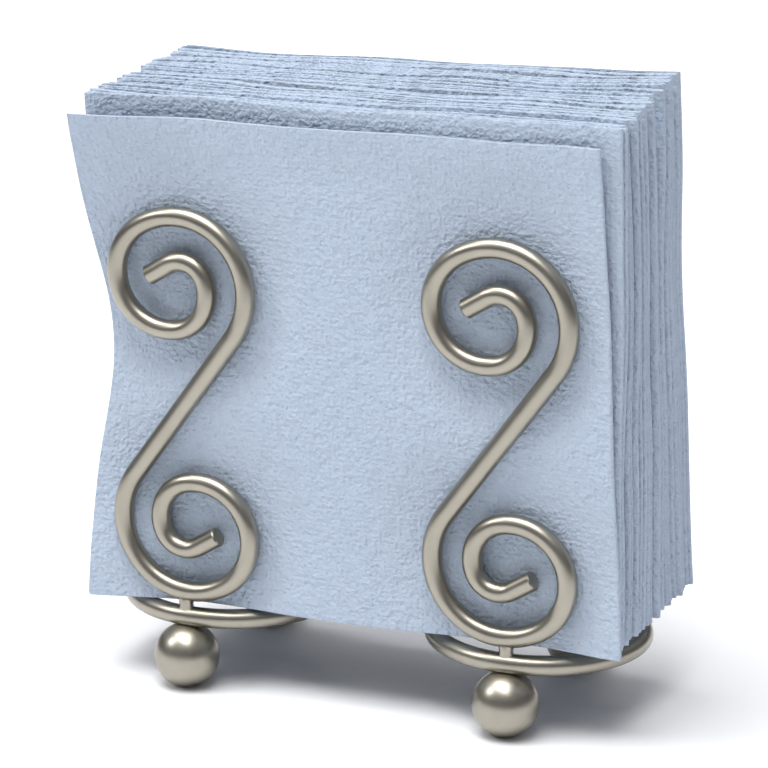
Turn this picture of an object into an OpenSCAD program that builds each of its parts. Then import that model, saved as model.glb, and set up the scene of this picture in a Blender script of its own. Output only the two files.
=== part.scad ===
// Napkin dispenser of bent round wire, with its napkins. Two level rings stand on
// ball feet; each ring carries an S-shaped scroll on a short post at the front and
// another at the back, and two short rods join the rings. Folded paper napkins stand
// on edge on the rings, held between the front and back scrolls.
// Millimetres. +Z is up, the front is the -Y side, and the origin is on the table
// under the middle of the stack.

/* [Wire] */
// Diameter of the round wire that the scrolls, rings and cross rods are bent from
wire_d = 6.35; // [4:0.05:8]
// Bevel on the cut ends of the scroll wire
tip_bevel = 0.4; // [0:0.1:1]
// How far two welded pieces sink into each other
weld_sink = 0.7; // [0.3:0.1:1.2]

/* [Scroll] */
// Slope of the straight middle of the S, in degrees from level
middle_slope = 54.2; // [45:0.1:65]
// Length of the straight middle
middle_len = 58.2; // [40:0.1:80]
// Radius of the wide bend that starts each loop
wide_r = 23.4; // [18:0.1:28]
// Degrees that the wide bend turns through
wide_turn = 153; // [120:1:180]
// Radius of the bend that rounds the outside of the loop
round_r = 17.75; // [14:0.05:22]
// Degrees that the rounding bend turns through
round_turn = 158; // [120:1:180]
// Radius of the bend that leads inside the loop
inner_r = 12.2; // [9:0.1:16]
// Degrees that the inner bend turns through
inner_turn = 100; // [60:1:140]
// Radius of the small hook at the end of the wire
hook_r = 8.5; // [6:0.1:12]
// Degrees that the hook turns through
hook_turn = 107; // [60:1:140]
// Straight length left at the tip of the wire
tip_len = 8; // [3:0.5:14]
// Short straight that the bending roller leaves between two bends
rest_len = 0.6; // [0.4:0.1:2]
// How much thinner the roller leaves the wire in a bend
bend_thinning = 0.02; // [0.01:0.01:0.1]

/* [Base] */
// Distance between the middles of the two base rings, and between the two scrolls' lowest points
ring_spacing = 106; // [94:1:120]
// Distance between the left and right posts, and between the ball feet under them
post_spacing = 109; // [94:1:120]
// Radius of each base ring, to the middle of its wire
ring_r = 33; // [26:0.5:40]
// Diameter of the post at its waist
post_waist_d = 4.6; // [3:0.1:6]
// Diameter of the post where its ends are welded to the wires
post_end_d = 6; // [4:0.1:7]
// Gap that the post leaves between the ring and the scroll
post_gap = 2; // [1:0.1:6]
// Diameter of each ball foot
ball_d = 21; // [16:0.5:28]
// Diameter of the flat ground on the underside of each ball
ball_flat_d = 4; // [2:0.5:8]
// Distance between the two cross rods
rod_spacing = 16; // [12:1:30]

/* [Napkins] */
// Number of napkins in the stack, one node for each
napkin_count = 24; // [24:1:24]
// Width of a napkin folded in four
fold_w = 176; // [150:1:190]
// Height of a napkin folded in four
fold_h = 161; // [140:1:175]
// Air left between napkins, and between a napkin and the wire
napkin_air = 0.3; // [0.2:0.05:0.5]

/* [Hidden] */
left = -1;
right = 1;
front = -1;
back = 1;

nickel = [0.60, 0.58, 0.54];
paper_blue = [0.70, 0.79, 0.88];

// Heights, from the table up
ball_r = ball_d / 2;
ball_z = sqrt(ball_r * ball_r - ball_flat_d * ball_flat_d / 4);
ring_z = ball_z + ball_r + wire_d / 2 - weld_sink;
ring_top = ring_z + wire_d / 2;
scroll_underside = ring_top + post_gap;

// The S repeats itself half a turn about its centre, so half its height is the rise
// from the centre to the top of the wide bend
half_rise = middle_len / 2 * sin(middle_slope) + wide_r * (1 + cos(middle_slope));
scroll_z = scroll_underside + wire_d / 2 + half_rise;
// Sideways distance from the centre of the S to its lowest point
scroll_shift = wide_r * sin(middle_slope) - middle_len / 2 * cos(middle_slope);

// Length that a straight laps over a bend
lap = 0.15;

// The post is a spool that stands between the two wires
post_low = ring_top - weld_sink;
post_h = post_gap + 2 * weld_sink;
post_flare = (post_end_d - post_waist_d) / 2;
post_hollow_r = (post_h * post_h / 4 + post_flare * post_flare) / (2 * post_flare);

// A cross rod reaches from ring to ring, just into the outside of each wire
rod_reach = ring_spacing / 2 - sqrt(pow(ring_r + wire_d / 2 - weld_sink, 2) - pow(rod_spacing / 2, 2));

napkin_room = 2 * ring_r - wire_d - 2 * napkin_air;
napkin_pitch = (napkin_room + napkin_air) / napkin_count;
napkin_t = napkin_pitch - napkin_air;
napkin_z = ring_top + napkin_air;

// A bend that turns left from the +X direction, with the rest of the wire drawn from
// its far end
module bend(r, turn) {
  translate([0, r, 0]) {
    rotate([0, 0, -90])
      rotate_extrude(angle = turn, $fn = 144)
        translate([r, 0]) circle(d = wire_d - bend_thinning, $fn = 32);
    rotate([0, 0, turn]) translate([0, -r, 0]) children();
  }
}

// Straight wire along +X that laps a little over the bend before it
module straight(length, lap_after) {
  translate([-lap, 0, 0])
    rotate([0, 90, 0]) cylinder(h = lap + length + lap_after, d = wire_d, $fn = 32);
  translate([length, 0, 0]) children();
}

// The cut end of the wire, square with its edge broken
module cut_end() {
  rotate([0, 90, 0])
    cylinder(h = tip_bevel, d1 = wire_d, d2 = wire_d - 2 * tip_bevel, $fn = 32);
}

// One loop: four bends, each tighter than the last, and the straight tip
module loop() {
  bend(wide_r, wide_turn) straight(rest_len, lap)
    bend(round_r, round_turn) straight(rest_len, lap)
      bend(inner_r, inner_turn) straight(rest_len, lap)
        bend(hook_r, hook_turn) straight(tip_len - tip_bevel, 0)
          cut_end();
}

// The S-shaped scroll, one length of wire standing in the XZ plane about its centre
module s_scroll() {
  rotate([90, 0, 0])
    rotate([0, 0, middle_slope]) {
      translate([-middle_len / 2, 0, 0]) straight(middle_len, lap);
      for (end = [0, 180])
        rotate([0, 0, end]) translate([middle_len / 2, 0, 0]) loop();
    }
}

// A scroll in its place; the back ones are the front ones turned round
module scroll(side, face) {
  color(nickel)
    translate([side * ring_spacing / 2 + face * scroll_shift, face * ring_r, scroll_z])
      rotate([0, 0, face == back ? 180 : 0]) s_scroll();
}

// A closed ring of wire, level on its two feet
module base_ring(side) {
  color(nickel)
    translate([side * ring_spacing / 2, 0, ring_z])
      rotate_extrude($fn = 144)
        translate([ring_r, 0]) circle(d = wire_d, $fn = 32);
}

// A short straight rod welded between the rings
module cross_rod(face) {
  color(nickel)
    translate([0, face * rod_spacing / 2, ring_z])
      rotate([0, 90, 0]) cylinder(h = 2 * rod_reach, d = wire_d, center = true, $fn = 48);
}

// The waisted post that carries a scroll on its ring
module post(side, face) {
  color(nickel)
    translate([side * post_spacing / 2, face * ring_r, post_low])
      rotate_extrude($fn = 48)
        difference() {
          square([post_end_d / 2, post_h]);
          translate([post_waist_d / 2 + post_hollow_r, post_h / 2])
            circle(r = post_hollow_r, $fn = 96);
        }
}

// A solid ball foot, ground flat underneath
module ball_foot(side, face) {
  color(nickel)
    translate([side * post_spacing / 2, face * ring_r, 0])
      intersection() {
        translate([0, 0, ball_z]) sphere(d = ball_d, $fn = 96);
        cylinder(h = 2 * ball_d, d = 2 * ball_d, $fn = 96);
      }
}

// One napkin folded in four, counted from the front of the stack
module napkin(place) {
  color(paper_blue)
    translate([-fold_w / 2, -napkin_room / 2 + (place - 1) * napkin_pitch, napkin_z])
      cube([fold_w, napkin_t, fold_h]);
}

scroll(left, front);  // scroll_front_left
scroll(right, front);  // scroll_front_right
scroll(left, back);  // scroll_back_left
scroll(right, back);  // scroll_back_right
base_ring(left);  // base_ring_left
base_ring(right);  // base_ring_right
cross_rod(front);  // cross_rod_front
cross_rod(back);  // cross_rod_back
post(left, front);  // post_front_left
post(right, front);  // post_front_right
post(left, back);  // post_back_left
post(right, back);  // post_back_right
ball_foot(left, front);  // ball_foot_front_left
ball_foot(right, front);  // ball_foot_front_right
ball_foot(left, back);  // ball_foot_back_left
ball_foot(right, back);  // ball_foot_back_right
napkin(1);  // napkin_01
napkin(2);  // napkin_02
napkin(3);  // napkin_03
napkin(4);  // napkin_04
napkin(5);  // napkin_05
napkin(6);  // napkin_06
napkin(7);  // napkin_07
napkin(8);  // napkin_08
napkin(9);  // napkin_09
napkin(10);  // napkin_10
napkin(11);  // napkin_11
napkin(12);  // napkin_12
napkin(13);  // napkin_13
napkin(14);  // napkin_14
napkin(15);  // napkin_15
napkin(16);  // napkin_16
napkin(17);  // napkin_17
napkin(18);  // napkin_18
napkin(19);  // napkin_19
napkin(20);  // napkin_20
napkin(21);  // napkin_21
napkin(22);  // napkin_22
napkin(23);  // napkin_23
napkin(24);  // napkin_24
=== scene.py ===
import math
import random

import bmesh
import bpy
from mathutils import Matrix, Vector, noise
from mathutils.kdtree import KDTree


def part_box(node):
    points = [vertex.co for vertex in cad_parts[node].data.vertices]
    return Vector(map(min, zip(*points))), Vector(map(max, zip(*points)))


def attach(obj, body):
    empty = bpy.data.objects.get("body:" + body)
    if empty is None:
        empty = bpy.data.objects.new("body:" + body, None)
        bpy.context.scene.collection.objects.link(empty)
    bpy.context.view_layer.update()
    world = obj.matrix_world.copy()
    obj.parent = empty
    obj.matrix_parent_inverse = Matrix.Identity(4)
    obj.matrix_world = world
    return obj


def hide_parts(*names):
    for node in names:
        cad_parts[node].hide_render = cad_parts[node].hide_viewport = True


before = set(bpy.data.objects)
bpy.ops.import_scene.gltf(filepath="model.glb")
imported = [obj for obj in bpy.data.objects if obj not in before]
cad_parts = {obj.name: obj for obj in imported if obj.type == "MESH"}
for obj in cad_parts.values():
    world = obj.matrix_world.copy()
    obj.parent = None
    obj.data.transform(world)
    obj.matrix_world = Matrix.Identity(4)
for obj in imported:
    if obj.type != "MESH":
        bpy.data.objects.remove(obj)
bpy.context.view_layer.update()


# ---- Scrolls, rings, rods and ball feet --------------------------------------------
# Bent and welded steel, tumbled smooth and plated with satin nickel, a warm grey. The
# shapes are the CAD's own; the plating has a fine grain and faint cloudiness.

class Shade:
    """A socket of a material, so that its maths is written as plain sums."""

    def __init__(self, socket):
        self.socket = socket

    def node(self, kind, settings, inputs, output=0):
        made = self.socket.id_data.nodes.new(kind)
        for setting, value in settings.items():
            if setting == "stops":
                ramp = made.color_ramp
                for stop, (place, colour) in zip((ramp.elements[0], ramp.elements[1]), value[:2]):
                    stop.position, stop.color = place, colour
                for place, colour in value[2:]:
                    ramp.elements.new(place).color = colour
            else:
                setattr(made, setting, value)
        for name, value in inputs.items():
            if isinstance(value, Shade):
                self.socket.id_data.links.new(value.socket, made.inputs[name])
            else:
                made.inputs[name].default_value = value
        return Shade(made.outputs[output])

    def math(self, operation, first, second):
        return self.node("ShaderNodeMath", {"operation": operation}, {0: first, 1: second})

    def __add__(self, other):
        return self.math("ADD", self, other)

    def __mul__(self, other):
        return self.math("MULTIPLY", self, other)

    __radd__ = __add__
    __rmul__ = __mul__

    def into(self, shader, name):
        self.socket.id_data.links.new(self.socket, shader.inputs[name])


def new_finish(name, coordinates, fixed):
    """A material with its fixed values set; returns it, its shader and its coordinates."""
    material = bpy.data.materials.new(name)
    material.use_nodes = True
    shader = material.node_tree.nodes["Principled BSDF"]
    for socket, value in fixed.items():
        shader.inputs[socket].default_value = value
    places = material.node_tree.nodes.new("ShaderNodeTexCoord")
    return material, shader, Shade(places.outputs[coordinates])


darker_plate = (0.318, 0.294, 0.244, 1)
lighter_plate = (0.405, 0.377, 0.318, 1)

nickel, nickel_shader, place = new_finish("satin_nickel", "Object", {"Metallic": 1.0})
cloud = place.node("ShaderNodeTexNoise", {}, {"Vector": place, "Scale": 90.0, "Detail": 3.0})
grain = place.node("ShaderNodeTexNoise", {}, {"Vector": place, "Scale": 2600.0, "Detail": 2.0})
plate_tone = place.node(
    "ShaderNodeMix", {"data_type": "RGBA"},
    {"Factor": cloud, "A": darker_plate, "B": lighter_plate}, 2)
plate_tone.into(nickel_shader, "Base Color")
(0.28 + 0.06 * cloud + 0.04 * grain).into(nickel_shader, "Roughness")
plate_grain = place.node(
    "ShaderNodeBump", {}, {"Strength": 0.05, "Distance": 0.0001, "Height": grain})
plate_grain.into(nickel_shader, "Normal")

napkin_names = sorted(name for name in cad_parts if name.startswith("napkin"))
for name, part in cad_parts.items():
    if name not in napkin_names:
        for slot in part.material_slots:
            slot.material = nickel


# ---- Posts -------------------------------------------------------------------------
# A short stud of the same plated steel stands between each ring and the scroll over it.
# It is welded at both ends, and the welds run smoothly out along the two wires.

post_rows = 14
post_sides = 40
post_waist = 0.72
post_flare = 0.10
post_sunk = 0.5
weld_along_wire = 0.5
weld_across_wire = 0.3


def weld_post(name, ring_name, scroll_name):
    """A post and its two welds; the sizes above are shares of the wire's radius."""
    low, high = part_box(name)
    ring_low, ring_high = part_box(ring_name)
    scroll_low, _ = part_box(scroll_name)
    wire = (ring_high.z - ring_low.z) / 2
    bottom = ring_high.z - post_sunk * wire
    top = scroll_low.z + post_sunk * wire
    middle = (low + high) / 2
    mesh = bmesh.new()
    outline = [mesh.verts.new((middle.x, middle.y, bottom))]
    for i in range(post_rows + 1):
        t = i / post_rows
        radius = wire * (post_waist + post_flare * abs(2 * t - 1) ** 3)
        outline.append(mesh.verts.new((middle.x + radius, middle.y, bottom + (top - bottom) * t)))
    outline.append(mesh.verts.new((middle.x, middle.y, top)))
    edges = [mesh.edges.new(pair) for pair in zip(outline, outline[1:])]
    bmesh.ops.spin(mesh, geom=outline + edges, cent=middle, axis=(0, 0, 1), steps=post_sides,
                   angle=math.tau, use_merge=True)
    bmesh.ops.remove_doubles(mesh, verts=mesh.verts, dist=1e-6)
    for vert in mesh.verts:
        # the weld spreads along the wire and draws in across it
        spread = abs(2 * (vert.co.z - bottom) / (top - bottom) - 1) ** 3
        vert.co.x = middle.x + (vert.co.x - middle.x) * (1 + weld_along_wire * spread)
        vert.co.y = middle.y + (vert.co.y - middle.y) * (1 - weld_across_wire * spread)
    bmesh.ops.recalc_face_normals(mesh, faces=mesh.faces)
    turned = bpy.data.meshes.new(name + "_weld")
    mesh.to_mesh(turned)
    mesh.free()
    turned.polygons.foreach_set("use_smooth", [True] * len(turned.polygons))
    piece = bpy.data.objects.new(name + "_weld", turned)
    bpy.context.collection.objects.link(piece)
    turned.materials.append(nickel)
    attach(piece, "holder")
    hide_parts(name)


for end in ("front", "back"):
    for side in ("left", "right"):
        weld_post(f"post_{end}_{side}", f"base_ring_{side}", f"scroll_{end}_{side}")


# ---- Napkins -----------------------------------------------------------------------
# Two-ply paper napkins of pale blue, embossed all over, each one sheet folded in four.
# The folds are at the right and the bottom. The stack stands on the rings, is pressed
# by the scrolls, and parts into uneven bundles where nothing holds it.

paper_thick = 0.00036
leaves = 4
fold_pitch = 0.00052
stack_low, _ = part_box(napkin_names[0])
_, stack_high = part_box(napkin_names[-1])
stack_mid_z = (stack_low.z + stack_high.z) / 2


def smooth(value, low, high):
    """0 below low, 1 above high, and an even S between them."""
    t = min(1.0, max(0.0, (value - low) / (high - low)))
    return t * t * (3 - 2 * t)


def wire_points(*names):
    """The places of the scrolls' wire, seen square on, to measure distances from."""
    points = [v.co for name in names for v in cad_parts[name].data.vertices]
    tree = KDTree(len(points))
    for i, co in enumerate(points):
        tree.insert((co.x, 0, co.z), i)
    tree.balance()
    return tree


front_wire = wire_points("scroll_front_left", "scroll_front_right")
back_wire = wire_points("scroll_back_left", "scroll_back_right")
wire_reach = 0.014


def free_of(wire, x, z):
    """0 where the wire presses the stack, rising to 1 well away from it."""
    distance = wire.find((x, 0, z))[2]
    return 1 - math.exp(-(distance / wire_reach) ** 2)


# The air in front of each napkin where the stack is free: little inside a bundle of two
# or three, more between bundles, and most behind the first napkin. The napkins of a
# bundle are also lifted alike. The air is in the same unit as paper_share.
paper_share = 2.2
paper_share_at_top = 1.7
bundled_air = 0.30
least_open_air, most_open_air = 1.2, 3.0
chance = random.Random(11)
gaps = [0.0, most_open_air]
rises = [0.0, 0.0006]
while len(gaps) < len(napkin_names):
    rise = chance.uniform(-0.0005, 0.0007)
    for _ in range(chance.choice((1, 1, 2))):
        gaps.append(chance.uniform(0.0, bundled_air))
        rises.append(rise + chance.uniform(-0.0002, 0.0002))
    gaps.append(chance.uniform(least_open_air, most_open_air))
    rises.append(rise)


def parting(number, x, z):
    """Where a napkin's share of the stack begins and ends at x, z, from 0 to 1."""
    top = smooth(z, stack_high.z - 0.055, stack_high.z)
    free = max(0.15, smooth(abs(x), 0.058, 0.080), top)
    share = paper_share + (paper_share_at_top - paper_share) * top
    place = 0.0
    for i, gap in enumerate(gaps[:len(napkin_names)]):
        drift = 1.0
        if i == 1:
            # the first napkin peels off towards the left
            drift = 0.5 + 1.6 * smooth(-x, -0.03, 0.08)
        elif gap > bundled_air:
            # a gap between bundles wanders wider and narrower
            drift = 1.0 + 2.4 * noise.noise(Vector((x * 15 + z * 8, i * 3.7, z * 4)))
        place += gap * max(0.08, drift) * free
        if i == number:
            begin = place
        place += share
    return begin / place, (begin + share) / place


bulge_between_wires = 0.0028
front_flare_high = 0.0095
front_flare_low = 0.0050
front_waist = 0.0045
back_flare = 0.0030
big_ruffle = 0.0022
small_ruffle = 0.0007
edge_ruffle = 0.0004
edge_wave = 0.0010


def stand(q, x, z):
    """Where a leaf's point stands once the stack is pressed, spread and ruffled.

    q runs from 0 at the front of the stack to 1 at its back. The same rule holds for
    every leaf, so that neighbours keep their order.
    """
    left = smooth(-x, 0.050, 0.092)
    right = smooth(x, 0.060, 0.092)
    high = smooth(z, stack_mid_z + 0.015, stack_high.z + 0.005)
    top = smooth(z, stack_high.z - 0.022, stack_high.z)
    low = smooth(-z, -stack_mid_z + 0.02, -stack_low.z)
    waist = math.exp(-((z - stack_mid_z + 0.002) / 0.030) ** 2)
    near = math.exp(-q * 4)
    front = stack_low.y + paper_thick
    front -= bulge_between_wires * free_of(front_wire, x, z)
    front -= left * (front_flare_high * high + front_flare_low * low)
    front -= 0.0015 * (right + top)
    front += front_waist * left * waist
    back = stack_high.y - paper_thick
    back += bulge_between_wires * free_of(back_wire, x, z)
    back += back_flare * (left + right) * (0.4 + high)
    y = front + (back - front) * q
    inside = min(1.0, 6 * q, 6 * (1 - q)) * 0.7 + 0.3
    loose = inside * max(left, right, 0.9 * top)
    y += loose * big_ruffle * noise.noise(Vector((x * 24, z * 24, q * 4.0)))
    y += loose * small_ruffle * noise.noise(Vector((x * 80, z * 40, q * 14.0 + 9)))
    at_edge = inside * top * (1 - right)
    y += at_edge * edge_ruffle * noise.noise(Vector((x * 140, z * 60, q * 40.0 + 5)))
    x += near * left * (0.0060 * waist - 0.0025 * high)
    z += top * edge_wave * noise.noise(Vector((x * 30, 3.0, q * 7.0)))
    z += 0.0015 * near * left * high
    return Vector((x, y, z))


def turn_over(run, radius):
    """A sheet bent back over a fold: how far past the fold line, and from front to back."""
    quarter = math.pi * radius / 2
    if abs(run) < quarter:
        return radius * math.cos(run / radius), math.sin(run / radius)
    return quarter - abs(run), math.copysign(1.0, run)


def crowd(p):
    """Draws the grid's lines closer together by the folds, at 0, and by the cut edges."""
    return math.copysign(math.sin(math.pi / 2 * p) ** 2, p)


def fold_napkin(number, name, across, up):
    """One sheet, folded in four and stood in its place in the stack.

    The first napkin leans more than its neighbours, is a little shorter and is drawn in
    at the right. From there to the back each one leans more and stands higher.
    """
    low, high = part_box(name)
    chance = random.Random(100 + number)
    wide = high.x - low.x
    tall = high.z - low.z
    behind = number / (len(napkin_names) - 1)
    slip_u = chance.uniform(-0.0004, 0.0004)
    slip_v = chance.uniform(-0.0003, 0.0003)
    if number == 0:
        drawn_in, taller = 0.0026, -0.028
        skew = math.radians(3.7)
    else:
        drawn_in, taller = 0.0, 0.016 * behind
        skew = math.radians(0.6 + 3.2 * behind + chance.uniform(-0.3, 0.3))
    lean = math.radians(0.7 + 0.8 * behind + chance.uniform(-0.15, 0.15))
    shift = chance.uniform(-0.0013, 0.0013) - 0.0010 * behind
    lift = max(0.0, rises[number] + 0.0036 * behind)
    mesh = bmesh.new()
    sheet_uv = mesh.loops.layers.uv.new("UVMap")
    bmesh.ops.create_grid(mesh, x_segments=2 * across, y_segments=2 * up, size=1)
    for corner in (corner for face in mesh.faces for corner in face.loops):
        place = corner.vert.co
        corner[sheet_uv].uv = (0.5 + crowd(place.x) / 2, 0.5 + crowd(place.y) / 2)
    for vertex in mesh.verts:
        u = crowd(vertex.co.x) * wide + slip_u
        v = crowd(vertex.co.y) * tall + slip_v
        # first folded over at the bottom, and then at the right round both leaves
        down, t = turn_over(v, 0.5 * fold_pitch)
        out, s = turn_over(u, (1 - 0.5 * t) * fold_pitch)
        x = high.x - 1.5 * fold_pitch + out
        z = low.z + 0.5 * fold_pitch - down
        begin, end = parting(number, x, z)
        spread = (1 - 0.5 * t) * (1 - 0.15 * smooth(x, 0.072, high.x))
        q = begin + (end - begin) * (0.5 + s * spread / leaves)
        along = x - low.x
        above = z - stack_mid_z
        x += shift - along / wide * (drawn_in + math.sin(skew) * above)
        z += lift + taller * (z - low.z) + math.sin(lean) * along
        vertex.co = stand(q, x, z)
    flat = bpy.data.meshes.new(name + "_sheet")
    mesh.to_mesh(flat)
    mesh.free()
    flat.polygons.foreach_set("use_smooth", [True] * len(flat.polygons))
    piece = bpy.data.objects.new(name + "_sheet", flat)
    bpy.context.collection.objects.link(piece)
    wall = piece.modifiers.new("paper", "SOLIDIFY")
    wall.thickness = paper_thick
    wall.offset = 0
    return piece, (2 * wide, 2 * tall)


darker_paper = (0.385, 0.455, 0.56, 1)
lighter_paper = (0.50, 0.58, 0.69, 1)

paper, paper_shader, place = new_finish(
    "napkin_paper", "UV", {"Roughness": 0.9, "Sheen Weight": 0.1, "Specular IOR Level": 0.2})
sheet_place = place.node("ShaderNodeMapping", {}, {"Vector": place, "Scale": (0.352, 0.322, 1)})
crepe = place.node(
    "ShaderNodeTexNoise", {}, {"Vector": sheet_place, "Scale": 1300.0, "Detail": 2.0})
pebble = place.node(
    "ShaderNodeTexVoronoi", {"feature": "SMOOTH_F1"},
    {"Vector": sheet_place, "Scale": 620.0, "Randomness": 0.6})
puffs = place.node(
    "ShaderNodeTexNoise", {}, {"Vector": sheet_place, "Scale": 210.0, "Detail": 3.0})
paper_tone = place.node(
    "ShaderNodeMix", {"data_type": "RGBA"},
    {"Factor": 0.6 * crepe + 0.5 * puffs, "A": darker_paper, "B": lighter_paper}, 2)
paper_tone.into(paper_shader, "Base Color")
emboss = 1.1 * pebble + 0.6 * crepe + 1.1 * puffs
embossing = place.node(
    "ShaderNodeBump", {}, {"Strength": 0.85, "Distance": 0.0010, "Height": emboss})
embossing.into(paper_shader, "Normal")

# The two napkins that show a whole face have the finer grids
for number, name in enumerate(napkin_names):
    if number in (0, len(napkin_names) - 1):
        sheet, cut_size = fold_napkin(number, name, 76, 76)
    else:
        sheet, cut_size = fold_napkin(number, name, 52, 28)
    sheet.data.materials.append(paper)
    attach(sheet, name)
    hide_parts(name)


# ---- Table, light and camera -------------------------------------------------------
# A plain white table in a dim room, under a large softbox overhead and two smaller ones
# in front and to the left. A last lamp whitens the table behind.

bpy.context.scene.view_settings.view_transform = "Standard"

floor_mesh = bmesh.new()
bmesh.ops.create_grid(floor_mesh, x_segments=1, y_segments=1, size=4)
floor_data = bpy.data.meshes.new("table")
floor_mesh.to_mesh(floor_data)
floor_mesh.free()
floor = bpy.data.objects.new("table", floor_data)
bpy.context.collection.objects.link(floor)
table_white, _, _ = new_finish(
    "table_white", "Object", {"Roughness": 0.6, "Base Color": (0.90, 0.90, 0.91, 1)})
floor_data.materials.append(table_white)

horizon = (0.0, (0.12, 0.125, 0.14, 1))
low_wall = (0.3, (0.15, 0.155, 0.17, 1))
ceiling = (1.0, (0.62, 0.64, 0.68, 1))

room = bpy.data.worlds.new("room")
room.use_nodes = True
around = Shade(room.node_tree.nodes.new("ShaderNodeTexCoord").outputs["Generated"])
height = around.node("ShaderNodeSeparateXYZ", {}, {"Vector": around}, 2)
wall_tone = height.node(
    "ShaderNodeValToRGB", {"stops": [horizon, ceiling, low_wall]}, {0: height})
wall_tone.into(room.node_tree.nodes["Background"], "Color")
bpy.context.scene.world = room


def softbox(name, place, aim, size, power):
    """A square lamp of a size in metres and a power in watts, turned to its aim."""
    lamp = bpy.data.lights.new(name, "AREA")
    lamp.shape = "SQUARE"
    lamp.size = size
    lamp.energy = power
    holder = bpy.data.objects.new(name, lamp)
    holder.location = place
    holder.rotation_euler = (Vector(aim) - Vector(place)).to_track_quat("-Z", "Y").to_euler()
    bpy.context.collection.objects.link(holder)


softbox("overhead_softbox", (-0.35, -0.35, 2.3), (0, 0, 0.1), 1.5, 54)
softbox("front_softbox", (0.48, -1.15, 2.35), (0, 0, 0.1), 0.8, 15)
softbox("left_softbox", (-1.65, -1.05, 1.75), (0, 0, 0.1), 0.8, 17)
softbox("background_lamp", (-0.6, 2.0, 1.6), (-0.5, 3.2, 0), 1.2, 40)

azimuth = math.radians(22.8)
elevation = math.radians(15.0)
roll = math.radians(0.5)
camera_distance = 1.028
focal_px = 3251
frame_px = 768
toward = Vector((math.sin(azimuth) * math.cos(elevation),
                 -math.cos(azimuth) * math.cos(elevation), math.sin(elevation)))
across = Vector((math.cos(azimuth), math.sin(azimuth), 0))
upward = toward.cross(across)
aim = Vector((0, 0, 0.095)) - 0.0007 * across + 0.0027 * upward
lens = bpy.data.cameras.new("camera")
lens.sensor_width = 36
lens.lens = focal_px / frame_px * lens.sensor_width
camera = bpy.data.objects.new("camera", lens)
turned_across = math.cos(roll) * across + math.sin(roll) * upward
turned_up = toward.cross(turned_across)
camera.matrix_world = Matrix.Translation(aim + camera_distance * toward) @ Matrix(
    (turned_across, turned_up, toward)).transposed().to_4x4()
bpy.context.collection.objects.link(camera)
bpy.context.scene.camera = camera
